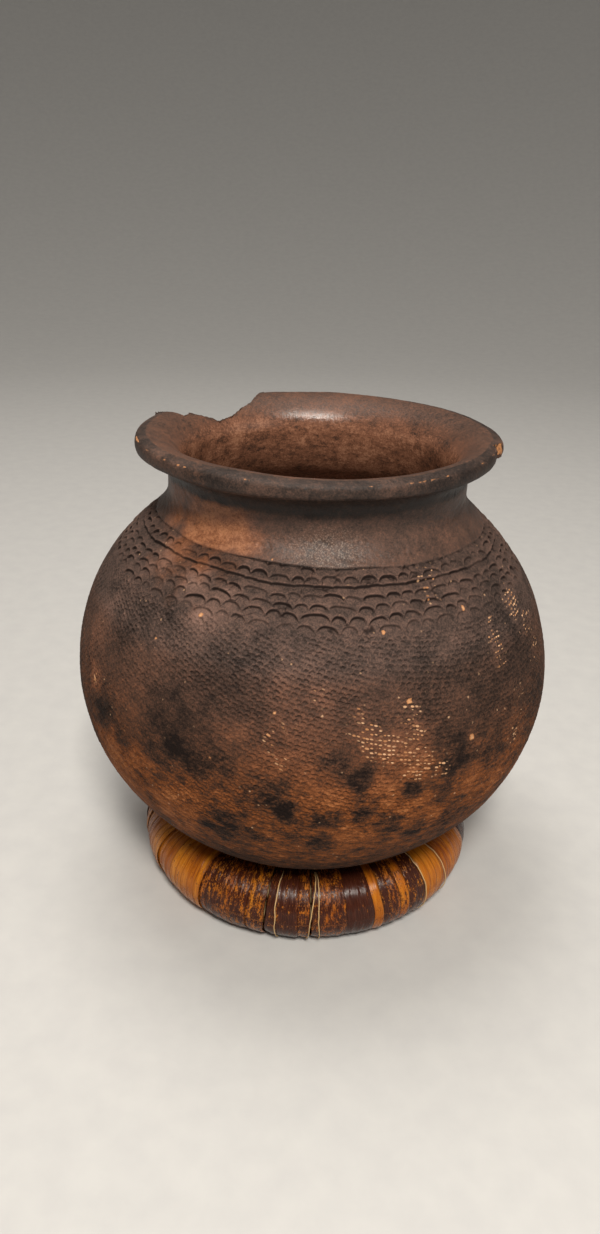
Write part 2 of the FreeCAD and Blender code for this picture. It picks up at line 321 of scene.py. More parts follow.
def pot_outline():
    """The pot's section from the middle of its underside, over the lip, to the middle of its floor."""
    inner_radius = NECK_RADIUS - NECK_WALL
    hollow_radius = BELLY_RADIUS - BELLY_WALL
    hollow_half = BELLY_HALF_HEIGHT - BELLY_WALL
    shoulder = math.radians(136.3)
    ceiling = math.radians(139.0)
    foot = math.radians(50.0)
    lower_belly = ellipse_arc(BELLY_RADIUS, BELLY_HALF_HEIGHT, 0.004, foot)
    belly = ellipse_arc(BELLY_RADIUS, BELLY_HALF_HEIGHT, foot, shoulder)
    rise = unit([BELLY_RADIUS * math.cos(shoulder), BELLY_HALF_HEIGHT * math.sin(shoulder)])
    neck_foot = np.array([NECK_RADIUS, TURN_LEVEL - 8.0])
    blend = bezier(belly[-1], belly[-1] + 8.0 * rise, neck_foot - [0, 8.0], neck_foot)
    neck = np.array([neck_foot, [NECK_RADIUS, TURN_LEVEL]])
    undercut = turn_arc(TURN_RADIUS, 0, 78)
    flare = turn_arc(TURN_RADIUS + NECK_WALL, 86, 0)
    top = pot_high[2]
    edge = [(98.9, -9.0), (101.3, -7.6), (101.4, -2.9), (100.1, -1.3), (97.6, -0.5)]
    lip = rounded([undercut[-1], *((radius, top + level) for radius, level in edge), flare[0]])
    ceiling_arc = ellipse_arc(hollow_radius, hollow_half, ceiling, 0.004)
    inward = unit([hollow_radius * math.cos(ceiling), hollow_half * math.sin(ceiling)])
    throat_top = np.array([inner_radius, TURN_LEVEL])
    throat = bezier(throat_top, throat_top - [0, 12.0], ceiling_arc[0] + 8.0 * inward, ceiling_arc[0])
    parts = [
        (lower_belly, 1.7), (belly, FINE_STEP), (blend, FINE_STEP), (neck, 1.0), (undercut, 0.9),
        (lip, FINE_STEP), (flare, 0.8), (throat, 1.2), (ceiling_arc, 3.0),
    ]
    outline = np.concatenate([resample(curve, step) for curve, step in parts])
    inside_from = sum(len(resample(curve, step)) for curve, step in parts[:6])
    return outline, inside_from


def wall_coordinates(radius, height):
    """Place in the neck's turned wall: how far along its middle line, and how far off that line."""
    across = TURN_MIDDLE - radius
    up = height - TURN_LEVEL
    angle = np.arctan2(up, across)
    distance = np.hypot(across, up)
    quarter = math.pi / 2
    along = np.where(up < 0, up, np.where(across > 0, LIP_MIDLINE * angle, LIP_MIDLINE * quarter - across))
    off = np.where(up < 0, across, np.where(across > 0, distance, up)) - LIP_MIDLINE
    return along, off


def wall_point(along, off):
    """The radius and height at this place in the neck's turned wall."""
    quarter = math.pi / 2
    angle = np.clip(along / LIP_MIDLINE, 0, quarter)
    beyond = np.maximum(along - LIP_MIDLINE * quarter, 0)
    reach = LIP_MIDLINE + off
    radius = TURN_MIDDLE - reach * np.cos(angle) + beyond
    height = TURN_LEVEL + reach * np.sin(angle)
    return radius, height


# ---- Surface of the pot ----

# Angle of the neck's turn at which the lip is broken off, round the bite.
BITE = [
    (110, 112), (116, 79), (120, 61), (126, 50), (132, 38), (141, 33), (147, 47), (154, 62), (158, 60),
    (162, 88), (164, 112),
]
# How much of the lip's wall is missing round the small chip, and how far the lip is drawn in before it.
CHIP = [(-19, 0.0), (-16, 1.2), (-13, 2.8), (-10, 1.6), (-8, 0.0)]
DRAWN_IN = [(-62, 0.0), (-42, 1.6), (-24, 2.6), (-13, 3.0), (-7, 0.2), (-4, 0.0)]

# Soot clouds, as (azimuth, height, radius, strength): those in the photo, then those round the back.
SOOT = [
    (-142, 146, 11, 0.8), (-135, 137, 8, 0.6), (-119, 150, 9, 0.9), (-117, 158, 20, 0.35),
    (-94.4, 123, 5.5, 1.2), (-68, 135, 5, 1.0), (-79.6, 145.5, 6, 0.7), (-85, 120, 6, 0.7),
    (-112, 100, 8, 0.9), (-107, 112, 8, 0.6), (-57, 146, 12, 0.7), (-61, 158, 9, 0.35),
    (-132, 207, 15, 0.20), (-86, 102, 7, 0.7), (-72, 112, 7, 0.7), (-42, 182, 44, 0.30),
    (-140, 188, 16, 0.25), (-109, 184, 16, 0.25), (-78, 121, 5, 0.8), (-60, 124, 6, 0.5),
    (-101, 131, 9, 0.6), (-122, 176, 13, 0.3), (-66, 104, 8, 0.6), (-45, 142, 14, 0.4),
    (-84, 153, 8, 0.3), (-165, 130, 20, 0.6), (-15, 120, 16, 0.7),
    (20, 150, 24, 0.7), (65, 190, 26, 0.6), (100, 120, 28, 0.8), (150, 170, 26, 0.6),
    (45, 105, 18, 0.6), (130, 95, 16, 0.5),
]
# Warm, well fired or worn areas, in the same form.
WARM = [
    (-138, 233, 9, 0.9), (-124, 226, 8, 0.8), (-112, 221, 6, 0.5), (-139, 112, 26, 1.3),
    (-121, 107, 22, 1.1), (-129, 126, 13, 1.0), (-113, 124, 10, 0.7), (-104, 122, 16, 0.7),
    (-98, 152, 13, 0.6), (-96, 157, 8, 0.6), (-91, 168, 18, 0.35), (-92, 190, 18, 0.30),
    (-84, 133, 10, 0.9), (-80, 111, 12, 0.8), (-66, 122, 10, 0.8), (-74, 137, 10, 0.9),
    (-70, 152, 14, 0.6), (-97, 107, 10, 0.8), (-89, 142, 11, 0.7), (-116, 213, 9, 0.6),
    (-54, 131, 11, 0.6), (-147, 160, 9, 0.7), (-150, 186, 14, 0.4), (-62, 110, 10, 0.7),
    (-45, 120, 14, 0.5), (-106, 167, 12, 0.35),
    (30, 115, 22, 0.7), (80, 140, 24, 0.5), (120, 150, 22, 0.5), (170, 115, 26, 0.7), (60, 95, 20, 0.6),
]
# Patches where the high points of the cord marks are worn down to bright clay.
WORN = [
    (-79.5, 172, 9, 0.7), (-77, 166, 8, 1.0), (-74, 160, 9, 0.9), (-69, 176, 7, 0.7),
    (-69, 167, 8, 0.9), (-69, 157, 9, 0.8), (-67, 147, 8, 0.9), (-62, 145, 7, 0.7),
    (-28.5, 205, 8, 0.9), (-25, 194, 8, 0.6), (-43, 203, 6, 0.6), (-42, 196, 7, 0.7),
    (-24, 178, 9, 0.5), (-42, 187, 6, 0.5), (-56, 228, 9, 0.4), (-98, 166, 5, 0.5),
    (-94, 170, 5, 0.4), (-96, 154, 6, 0.6), (-38, 142, 12, 0.45), (-147, 161, 5, 0.8),
    (-88, 186, 6, 0.35), (-36, 160, 12, 0.35),
    (35, 160, 12, 0.7), (85, 175, 14, 0.6), (140, 200, 12, 0.5),
]
# Single knocks down to bright clay, as (azimuth, height, radius).
KNOCKS = [
    (-48.8, 215, 1.1), (-68.8, 182, 1.3), (-53.9, 155.5, 1.6), (-118, 213, 0.9), (-147, 160, 1.6),
    (-103, 238, 0.5), (-73, 212, 0.8), (-128, 198, 0.6), (-97, 178, 0.6), (-110, 150, 0.6), (60, 200, 1.4),
    (110, 165, 1.5), (10, 175, 1.2),
]
# Worn stretches of the lip's outer edge, pale as worn clay and as a painted highlight, as (azimuth, half
# its width in degrees, strength).
LIP_WEAR_AND_HIGHLIGHT = [
    (-163, 4.0, 0.9), (-150, 1.5, 0.4), (-139, 3.0, 0.5), (-131, 2.5, 0.6), (-119, 1.0, 0.5),
    (-109, 1.0, 0.5), (-103, 0.8, 0.6), (-76, 1.0, 0.5), (-57.5, 9.0, 0.5), (-33, 1.0, 0.5),
    (-22, 1.5, 0.6), (30, 5.0, 0.7), (75, 2.0, 0.8), (100, 4.0, 0.5), (176, 4.0, 0.7),
]
# Warm patches on the neck, as (azimuth, height, radius, strength).
NECK_WARM = [
    (-131, 250, 25, 1.15), (-119, 244, 15, 1.0), (-150, 252, 14, 0.6),
    (40, 250, 20, 0.6), (120, 248, 26, 0.7),
]
# The worn knob left standing beside the chip, in the same form.
LIP_WARM = [(-5, 274, 5, 1.0)]
# The lower left of the belly, which hardly flakes, in the same form.
SMOOTH = [(-145, 108, 45, 1.0)]
# Middle of the lumpy clay at the left of the neck's foot, as (azimuth, height).
LUMPS_AT = (-141, 233)
# Middle of the pale specks on the front of the neck, a painted speckled highlight.
SPECKS_AT = (MIDDLE, 241)


def angle_between(azimuth, other):
    """Signed difference of azimuths in degrees, -180 to 180."""
    return (azimuth - other + 180.0) % 360.0 - 180.0


def pot_surface():
    """The bare pot as a grid: a row for each point of its outline and a column for each azimuth."""
    outline, outside_rows = pot_outline()
    tangent = np.gradient(outline, axis=0)
    tangent /= np.linalg.norm(tangent, axis=1)[:, None]
    along = np.concatenate([[0], np.cumsum(np.linalg.norm(np.diff(outline, axis=0), axis=1))])
    phi = full_turn(POT_COLUMNS)
    s = SimpleNamespace(phi=phi, along=along, normal=np.stack([tangent[:, 1], -tangent[:, 0]], 1))
    s.radius = np.repeat(outline[:, :1], POT_COLUMNS, 1)
    s.height = np.repeat(outline[:, 1:], POT_COLUMNS, 1)
    s.azimuth = np.broadcast_to(np.degrees(phi), s.height.shape)
    s.place = np.stack([s.radius * np.cos(phi), s.radius * np.sin(phi), s.height], -1)
    s.outside = (np.arange(len(outline)) < outside_rows)[:, None]
    s.wall_along, s.wall_off = wall_coordinates(s.radius, s.height)

    # Distance below the foot of the neck, measured down the outside.
    top_row = np.argmax(outline[:, 1])
    foot_of_neck = np.interp(BAND_TOP, outline[:top_row, 1], along[:top_row])
    s.down = foot_of_neck + 0.9 * noise(s.place, 16.0, 11) - 1.4 * BAND_TILT * np.cos(phi) - along[:, None]
    dip = CORD_SLOPE * np.cos(phi - math.radians(CORD_LOWEST))
    s.cord_row = (s.down - dip + 0.6 * noise(s.place, 12.0, 31)) / CORD_PITCH
    s.on_neck = smoothstep(0.5, -0.8, s.down) * s.outside
    s.on_lip = smoothstep(TURN_LEVEL + 4, TURN_LEVEL + 12, s.height) * s.outside
    s.in_mouth = smoothstep(TURN_LEVEL + 20.5, TURN_LEVEL + 4, s.height) * ~s.outside
    s.unseated = smoothstep(62, 90, s.height)  # 0 where the belly sits in its ring
    return s


def spots(s, places, ragged):
    """Soft round spots on the pot; ragged is noise that makes their edges uneven."""
    total = np.zeros(s.height.shape)
    for where, level, size, strength in places:
        sideways = np.radians(angle_between(s.azimuth, where)) * s.radius
        distance = np.hypot(sideways, s.height - level) / size
        total = np.maximum(total, strength * smoothstep(1.5, 0.35, distance + ragged))
    return total


def streaks(s, length, width, seed):
    """Noise drawn out along the rows of cord marks."""
    squeeze = width / length
    rows = s.cord_row * CORD_PITCH
    points = np.stack([s.place[..., 0] * squeeze, s.place[..., 1] * squeeze, rows], -1)
    return noise(points, width, seed) + 0.5 * noise(points, width / 2, seed + 1)


def arches(turn, row_place, count, seed, rise, strength, groove, stray=0.0):
    """Rows of arched impressions that overlap like scales.

    turn goes from 0 to 1 round the pot, and row_place counts rows downward. Each impression is deepest just
    under its arch and runs out below, and groove is the width of its dark upper edge as a share of the row.
    stray is how far the widths and slopes of neighbours differ.
    Returns the depth, the crease along the arch, where shade is painted, and the ridge pushed up above it,
    each 0 to 1.
    """
    row = np.floor(row_place)
    depth, crease, ridge = (np.zeros(row_place.shape) for _ in range(3))
    for this in (row - 1, row, row + 1):
        place = turn * count + 0.5 * (this % 2) + 0.35 * random_cell(this, seed=seed)
        for waves in (count // 5, count // 3):
            phase = waves * turn + random_cell(this, waves, seed=seed)
            place = place + stray * np.sin(2 * math.pi * phase)
        cell = np.floor(place)
        across = 2 * (place - cell) - 1
        name = cell % count
        free = np.minimum(1.0, 2.5 * rise(this))
        wobble = 0.34 * free * (random_cell(this, name, seed=seed + 1) - 0.5)
        tilt = 2.5 * stray * free * (random_cell(this, name, seed=seed + 4) - 0.5)
        bend = rise(this) * (0.75 + 0.5 * random_cell(this, name, seed=seed + 2))
        below = row_place - (this + wobble + bend * np.abs(across) ** 3 + tilt * across)
        force = strength(this) * (0.55 + 0.45 * random_cell(this, name, seed=seed + 3))
        fades = np.minimum(1.4 * rise(this), 0.55)
        force = force * (1 - fades * smoothstep(0.72, 1.0, np.abs(across)))
        runs_out = np.clip(1 - below / 1.15, 0, 1) ** 1.3
        depth = np.maximum(depth, force * runs_out * smoothstep(-0.04, groove, below))
        crease = np.maximum(crease, force * np.exp(-(((below - 0.3 * groove) / groove) ** 2)))
        ridge = np.maximum(ridge, force * np.exp(-(((below + 1.3 * groove) / groove) ** 2)))
    return depth, crease, ridge


def scale_rise(row):
    """How strongly the scales of a row are arched; the third row is nearly a straight line."""
    return np.interp(row, [0, 1, 2, 3, 4, 5, 6], [0.30, 0.60, 0.08, 0.40, 0.50, 0.65, 0.80])


def scale_strength(row):
    """How deep the scales of a row are pressed."""
    return np.interp(row, [-1, 0, 1, 2, 3, 4, 5, 6, 7], [0.0, 1.0, 1.0, 1.0, 0.9, 0.9, 0.9, 0.7, 0.0])


def press_scales(s):
    """The band of scales under the neck, clearest at the front."""
    turn = s.phi / (2 * math.pi) + noise(s.place, 15.0, 14) * 0.0016
    rows = (s.down + 0.9 * noise(s.place, 22.0, 12) + 0.5) / SCALE_PITCH
    count = round(2 * math.pi * SCALE_REACH / SCALE_WIDTH)
    marks = arches(turn, rows, count, 21, scale_rise, scale_strength, 0.12, stray=0.12)
    front = smoothstep(62, 22, np.abs(angle_between(s.azimuth, MIDDLE)))
    clear = 0.5 + 0.5 * np.maximum(front, smoothstep(0.35, -0.15, noise(s.place, 40.0, 13)))
    s.in_band = smoothstep(-0.6, 0.2, s.down) * smoothstep(BAND_DEPTH + 3, BAND_DEPTH - 2, s.down)
    s.in_band = s.in_band * s.outside
    s.scale_depth, s.scale_crease, s.scale_ridge = (mark * s.in_band * clear for mark in marks)
    lines = smoothstep(0.10, 0.0, np.abs(noise(s.place, 4.6, 15)))
    s.wrinkles = lines * smoothstep(-0.2, 0.3, noise(s.place, 8.0, 16)) * s.in_band * clear


def press_cords(s):
    """Cord marks on the belly, in rows that run down to the right at the front left."""
    turn = s.phi / (2 * math.pi) + noise(s.place, 9.0, 32) * 0.0008
    count = round(2 * math.pi * CORD_REACH / CORD_WIDTH)
    marks = arches(turn, s.cord_row, count, 41, lambda row: 0.55, lambda row: 1.0, 0.16)
    left = smoothstep(-0.2, 0.9, np.cos(s.phi - math.radians(-120)))
    area = smoothstep(BAND_DEPTH - 3, BAND_DEPTH + 3, s.down + 1.5 * noise(s.place, 9.0, 33)) * s.outside
    area = area * smoothstep(84, 124, s.height + 9 * noise(s.place, 18.0, 34))
    rubbed = 0.45 + 0.55 * smoothstep(0.5, -0.3, cloud(s.place, 26.0, 35))
    clear = area * rubbed * (0.75 + 0.25 * left)
    s.cord_depth, s.cord_crease, s.cord_ridge = (mark * clear for mark in marks)


def clay_lift(s):
    """How far the marked surface stands off the bare one."""
    uneven = (noise(s.place, 75.0, 1) + 0.35 * noise(s.place, 24.0, 2)) * s.unseated
    scales = SCALE_RIDGE * s.scale_ridge - SCALE_DEPTH * s.scale_depth - WRINKLE_DEPTH * s.wrinkles
    step = 0.35 * smoothstep(-0.3, 0.5, s.down) * s.in_band
    cords = CORD_RIDGE * s.cord_ridge - CORD_DEPTH * s.cord_depth
    scratches = streaks(s, 14.0, 1.6, 51) * smoothstep(160, 110, s.height) * s.outside * s.unseated
    strokes = (0.10 * streaks(s, 12.0, 2.0, 57) + 0.08 * noise(s.place, 9.0, 53)) * s.on_neck
    from_lumps = np.hypot(angle_between(s.azimuth, LUMPS_AT[0]), s.height - LUMPS_AT[1])
    lumps = smoothstep(0.0, 0.6, noise(s.place, 5.0, 55)) * smoothstep(14, 5, from_lumps) * s.outside
    pits = smoothstep(0.45, 0.8, noise(s.place, 2.4, 56)) * s.outside * s.unseated
    small = SCRATCH_DEPTH * scratches - PIT_DEPTH * pits + GRIT_DEPTH * noise(s.place, 1.7, 54) * s.outside
    return uneven + scales - step + cords + strokes + lumps + small


def at_azimuth(azimuth, points, beyond=0.0):
    """Value of a broken line through (azimuth, value) points; beyond is its value past both ends."""
    return np.interp(azimuth, *zip(*points), left=beyond, right=beyond)


def break_lip(s, radius, height):
    """End the wall early along the broken stretches, in a rough face square to it."""
    azimuth = angle_between(np.degrees(s.phi), 0.0)
    drawn_in = at_azimuth(azimuth, DRAWN_IN)
    s.tip = s.wall_along.max()
    near_edge = smoothstep(-16, -1, s.wall_along - s.tip) * (s.height > TURN_LEVEL)
    bite_end = LIP_MIDLINE * np.radians(at_azimuth(azimuth, BITE, beyond=130))
    chip_end = s.tip + 0.5 - 1.25 * at_azimuth(azimuth, CHIP)
    wall_end = np.minimum(bite_end, chip_end)
    s.gone = (s.height > TURN_LEVEL - 5) & (s.wall_along > np.maximum(wall_end, -20))
    order = np.cumsum(s.gone, 0) - 0.5
    spread = (order / np.maximum(s.gone.sum(0), 1) - 0.5) * NECK_WALL
    ragged = noise(s.place, 2.6, 61) + 0.6 * noise(s.place, 1.3, 62)
    broken_radius, broken_height = wall_point(wall_end + 0.55 * ragged, spread)
    s.fresh = s.gone & (np.abs(azimuth - CHIP[3][0]) < 12)
    radius = np.where(s.gone, broken_radius - drawn_in, radius - near_edge * drawn_in)
    return radius, np.where(s.gone, broken_height, height)


def belly_firing(s, fog, grain):
    """Warmer and streakier lower down, darker in the soot clouds; painted shade in the marks' hollows and
    above the ring, painted light on the marks' ridges.
    """
    clouds = (0.06 + 0.06 * s.lower) * fog + (0.05 + 0.07 * s.lower) * grain
    streaky = (0.03 + 0.09 * s.lower) * streaks(s, 7.0, 1.4, 78)
    patches = 0.27 * spots(s, WARM, 0.7 * s.edge) - 0.34 * spots(s, SOOT, 1.4 * s.edge) + 0.10 * s.flecks
    # Painted light on the ridges of the marks and painted shade in their hollows.
    marks = 0.06 * s.cord_ridge - 0.14 * s.cord_depth + 0.12 * s.scale_ridge - 0.07 * s.scale_depth
    # Painted shade where the belly sits down in the ring.
    seat_shade = 0.20 * smoothstep(86, 60, s.height)
    return 0.44 + 0.05 * s.lower + clouds + streaky + patches + marks - seat_shade


def neck_firing(s, fog, grain):
    """Even and smooth on the neck, with a warm flame mark; sooty and painted with shade under the lip, and
    dark on it.
    """
    # Painted shade, partly soot, darkens the neck under the lip's overhang.
    neck = between(0.44 + 0.05 * fog + 0.03 * grain + 0.35 * s.warm_neck, 0.16, s.under_lip)
    lip = 0.29 + 0.10 * fog + 0.08 * grain + 0.52 * spots(s, LIP_WARM, s.edge)
    return between(neck, lip, s.on_lip)


def mark_areas(s):
    """The areas that both the clay's colours, with their painted shade, and the texture follow, each from 0
    to 1.
    """
    s.edge = 0.55 * cloud(s.place, 9.0, 81, 4)  # makes the edges of patches uneven
    s.lower = smoothstep(178, 112, s.height)
    s.flecks = spots(s, WORN, 0.5 * cloud(s.place, 5.0, 95)) * s.outside
    # Painted shade, partly soot, under the lip's overhang.
    s.under_lip = smoothstep(-2.5, 1.5, s.height - TURN_LEVEL + 1.2 * noise(s.place, 7.0, 105)) * s.outside
    s.warm_neck = spots(s, NECK_WARM, s.edge)


def firing(s):
    """How the clay is fired and smoked, from 0 (soot) to 1 (bright orange), with painted light and shade
    mixed in.
    """
    fog = cloud(s.place, 34.0, 71, 4)
    grain = cloud(s.place, 7.0, 75, 3)
    outside = between(belly_firing(s, fog, grain), neck_firing(s, fog, grain), s.on_neck)
    # Painted light: the clay near the top of the mouth is brighter than deeper in, to light up the shaded
    # mouth.
    mouth = 0.42 + 0.06 * fog + (0.25 + 0.16 * cloud(s.place, 10.0, 91, 4)) * s.in_mouth
    old_break = 0.30 + 0.12 * noise(s.place, 3.0, 103) + 0.2 * (noise(s.place, 4.0, 104) > 0.55)
    return np.where(s.gone & ~s.fresh, old_break, np.where(s.outside, outside, mouth))


def texture(s):
    """Where the surface flakes, and where its colours are ashen, each from 0 up."""
    smooth_patch = spots(s, SMOOTH, s.edge)
    below = s.lower * s.outside * (1 - 0.85 * smooth_patch)
    flaky = below + 0.75 * s.in_mouth + 0.5 * s.warm_neck * s.on_neck
    calm = smoothstep(120, 205, s.height) * (1 - 0.6 * s.warm_neck) * (1 - s.under_lip * (1 - s.on_lip))
    band = smoothstep(188, 200, s.height) * (1 - s.on_neck)
    return flaky, np.where(s.outside, calm * (1 + 0.5 * band), 0.65)


def wear(s):
    """Bright worn clay outside the cord marks: knocks, the lip's edge and the fresh chip; on the lip's edge
    it is also a painted highlight.
    """
    knocks = spots(s, [(*knock, 1.0) for knock in KNOCKS], 0.5 * noise(s.place, 1.5, 97)) * s.outside
    # A thin line along the lip's outer top corner: worn clay, and also a painted highlight.
    edge = np.exp(-(((s.wall_along - s.tip + 1.0) / 0.4) ** 2)) * (s.wall_off > 0)
    worn_edge = np.zeros(s.height.shape)
    for where, half_width, strength in LIP_WEAR_AND_HIGHLIGHT:
        share = smoothstep(1.4, 0.6, np.abs(angle_between(s.azimuth, where)) / half_width)
        worn_edge = np.maximum(worn_edge, strength * share)
    broken = smoothstep(-0.35, 0.25, noise(s.place, 2.2, 102))
    rim = edge * np.maximum(worn_edge * broken, 0.35 * smoothstep(0.5, 0.8, noise(s.place, 3.0, 101)))
    return np.where(s.fresh, 0.35 + 0.6 * noise(s.place, 2.0, 106), np.maximum(knocks, rim))


def creases(s):
    """Painted shade, nearly black, in the arches, the wrinkles and the line at the neck's foot."""
    pressed = np.maximum(np.maximum(1.5 * s.scale_crease, 0.8 * s.wrinkles), s.cord_crease)
    clear = 0.35 + 0.6 * smoothstep(30, 18, np.abs(angle_between(s.azimuth, MIDDLE - 6)))
    neck_line = clear * np.exp(-((s.down / 0.45) ** 2)) * s.outside
    return np.maximum(pressed, neck_line) * ~s.gone


def glosses(s):
    """How smooth the clay is: most in the mouth, some on the neck and lip, none elsewhere."""
    inside = (0.25 + 0.75 * s.in_mouth) * smoothstep(150, 235, s.height)
    return np.where(s.outside, 0.42 * s.on_neck * (1 - s.on_lip) + 0.25 * s.on_lip, inside) * ~s.gone


def make_pot(material):
    """The pot's mesh, with every mark in its clay, and the values that its material reads."""
    s = pot_surface()
    press_scales(s)
    press_cords(s)
    lift = clay_lift(s)
    radius, height = break_lip(s, s.radius + s.normal[:, :1] * lift, s.height + s.normal[:, 1:] * lift)
    grid = np.stack([radius * np.cos(s.phi), radius * np.sin(s.phi), height], -1)
    mark_areas(s)
    flaky, ashen = texture(s)
    from_specks = np.hypot(angle_between(s.azimuth, SPECKS_AT[0]) * 1.2, s.height - SPECKS_AT[1])
    return grid_object(
        "clay_pot", grid, material, rows_closed=False, row_marks=s.along / s.along[-1], fired=firing(s),
        flaky=flaky, ashen=ashen, worn=wear(s), flecks=s.flecks, crease=creases(s), gloss=glosses(s),
        pale=smoothstep(20, 4, from_specks) * s.on_neck, cord_row=s.cord_row,
    )


# ---- Ring stand ----

# How dark each strip's bark is, in the order of the strips: 0 is plain gold, 1 nearly all dark.
BARK_DARKNESS = [
    0.20, 0.62, 0.52, 0.74, 0.60, 0.66, 0.88, 0.28, 0.66, 0.40, 0.68, 0.12, 0.06, 0.88, 0.15,
    0.55, 0.70, 0.10, 0.62, 0.30, 0.85, 0.08, 0.66, 0.12, 0.50, 0.92, 0.06, 0.60, 0.35, 0.18,
]
# The legs of each loose fibre, as (azimuth at its top, azimuth at its foot) from its seam, in degrees.
FIBRE_LEGS = [
    [(4.0, 3.5)],
    [(1.5, -1.6), (1.9, 3.4)],
    [(-1.0, 1.2)],
    [(-2.0, 2.5)],
    [(1.0, -1.0)],
]


def tube_point(azimuth, around, reach):
    """A point of the ring's tube: azimuth and around in radians, 0 outward and a quarter turn up."""
    radius = RING_RADIUS + reach * np.cos(around)
    height = RING_HEIGHT + reach * np.sin(around)
    return np.stack([radius * np.cos(azimuth), radius * np.sin(azimuth), height + 0 * radius], -1)


def press(points, gap):
    """Flatten what the table and the pot's belly press on, leaving a gap below the belly."""
    points = points.copy()
    floor = FLAT_LEVEL + gap
    low = points[..., 2] < floor
    points[..., 2] = np.where(low, floor + 0.08 * (points[..., 2] - floor), points[..., 2])
    wide = BELLY_RADIUS + gap
    tall = BELLY_HALF_HEIGHT + gap
    offset = points - np.array([0, 0, BELLY_CENTRE])
    inside = np.sqrt((offset[..., 0] ** 2 + offset[..., 1] ** 2) / wide**2 + offset[..., 2] ** 2 / tall**2)
    push = np.where(inside < 1, 1 / np.maximum(inside, 0.5), 1.0)
    return offset * push[..., None] + np.array([0, 0, BELLY_CENTRE])


def azimuth_span(node):
    """First and last azimuth, in radians, that a CAD node covers round the pot's axis."""
    points = np.array([v.co[:2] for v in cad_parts[node].data.vertices])
    middle = math.atan2(points[:, 1].mean(), points[:, 0].mean())
    angles = np.arctan2(points[:, 1], points[:, 0]) - middle
    angles = (angles + math.pi) % (2 * math.pi) - math.pi
    return middle + angles.min(), middle + angles.max()


def seam_shift(azimuth, around):
    """How far, in radians, the seam at this azimuth strays to the side as it goes round the tube."""
    forward = 60 * math.cos(azimuth) + 8 * np.cos(around)
    sideways = 60 * math.sin(azimuth) + 8 * np.sin(around)
    way = np.stack([forward, sideways, 0 * around], -1)
    return (1.3 * noise(way, 11.0, 201) + 0.35 * noise(way, 2.4, 202)) / RING_RADIUS


def strip_section(width):
    """Places across a strip: -1 to 1 over its outside and back under it; and whether each is outside."""
    outer_count = max(8, int(width / STRIP_STEP))
    inner_count = max(5, outer_count // 4)
    over = np.linspace(-1, 1, outer_count)
    under = np.linspace(1, -1, inner_count + 2)[1:-1]
    return np.concatenate([over, under]), np.arange(outer_count + inner_count) < outer_count


def make_strip(number, node, material):
    """A strip of bark wound round the tube; its last edge lies over the next strip's first edge."""
    first, last = azimuth_span(node)
    width = (last - first) * (RING_RADIUS + TUBE_RADIUS)
    across, is_outer = strip_section(width)
    around = full_turn(STRIP_STATIONS)
    start = first + seam_shift(first, around) - STRIP_TUCK / RING_RADIUS
    end = last + seam_shift(last, around) + STRIP_LAP / RING_RADIUS
    share, angle = np.meshgrid((across + 1) / 2, around)
    azimuth = between(start[:, None], end[:, None], share)
    sideways = share * width

    place = np.stack([sideways + 37.0 * number, 10 * np.cos(angle), 10 * np.sin(angle)], -1)
    fibres = noise(place * [1, 0.16, 0.16], 0.9, 211) + 0.6 * noise(place * [1, 0.3, 0.3], 2.2, 212)
    way = sideways / LEAF_WIDTH + 0.35 * noise(place * [0.2, 1, 1], 9.0, 214)
    leaf = way - np.floor(way)
    shade = random_cell(np.floor(way), seed=215 + number) - 0.5
    split = np.exp(-((np.minimum(leaf, 1 - leaf) * LEAF_WIDTH / 0.35) ** 2)) * is_outer
    last_edge = np.exp(-(((1 - across) / 0.06) ** 2)) * is_outer
    shape = 0.45 * (1 - across**4) + 0.42 * across - 0.12 * last_edge - 0.55 * ~is_outer
    reach = TUBE_RADIUS - 0.45 + shape + 0.14 * fibres + 0.30 * noise(place, 7.0, 213) + 0.30 * leaf
    grid = press(tube_point(azimuth, angle, reach), STRIP_GAP)
    return grid_object(
        f"bark_strip_{number:02d}", grid, material, split=split, tone=shade,
        darkness=BARK_DARKNESS[number - 1] + 0.16 * shade,
        border=np.minimum(share, 1 - share) * width,
        grain=np.stack([sideways, angle * 21.0, np.full(angle.shape, 13.0 * number)], -1),
    )


def rope(name, path, radius, plies, twists, material, closed=True, sides=22, taper=0.0):
    """A twisted cord along a path of points; the plies show as bulges that wind round it."""
    steps = len(path)
    ahead = np.roll(path, -1, 0) - np.roll(path, 1, 0)
    if not closed:
        ahead[0] = path[1] - path[0]
        ahead[-1] = path[-1] - path[-2]
    ahead /= np.linalg.norm(ahead, axis=1)[:, None]
    side = path.mean(0) - path
    side -= (side * ahead).sum(1)[:, None] * ahead
    side /= np.linalg.norm(side, axis=1)[:, None]
    top = np.cross(ahead, side)
    twist = np.arange(steps) / steps * 2 * math.pi * twists
    angle, wind = np.meshgrid(full_turn(sides), twist)
    bulge = np.abs(np.cos(plies / 2 * (angle - wind / plies)))
    hairs = noise(np.stack([angle * 6, wind * 9, 0 * angle], -1), 1.0, 301)
    size = radius * (0.80 + 0.17 * bulge + 0.03 * hairs)
    if not closed:
        along = np.linspace(0, 1, steps)[:, None]
        size = size * (1 - taper * (2 * np.abs(along - 0.5)) ** 6)
    outward = np.cos(angle)[..., None] * side[:, None] + np.sin(angle)[..., None] * top[:, None]
    grid = path[:, None] + size[..., None] * outward
    grain = np.stack([angle * radius, wind * radius, 0 * angle], -1)
    return grid_object(name, grid, material, rows_closed=closed, grain=grain, bulge=bulge)


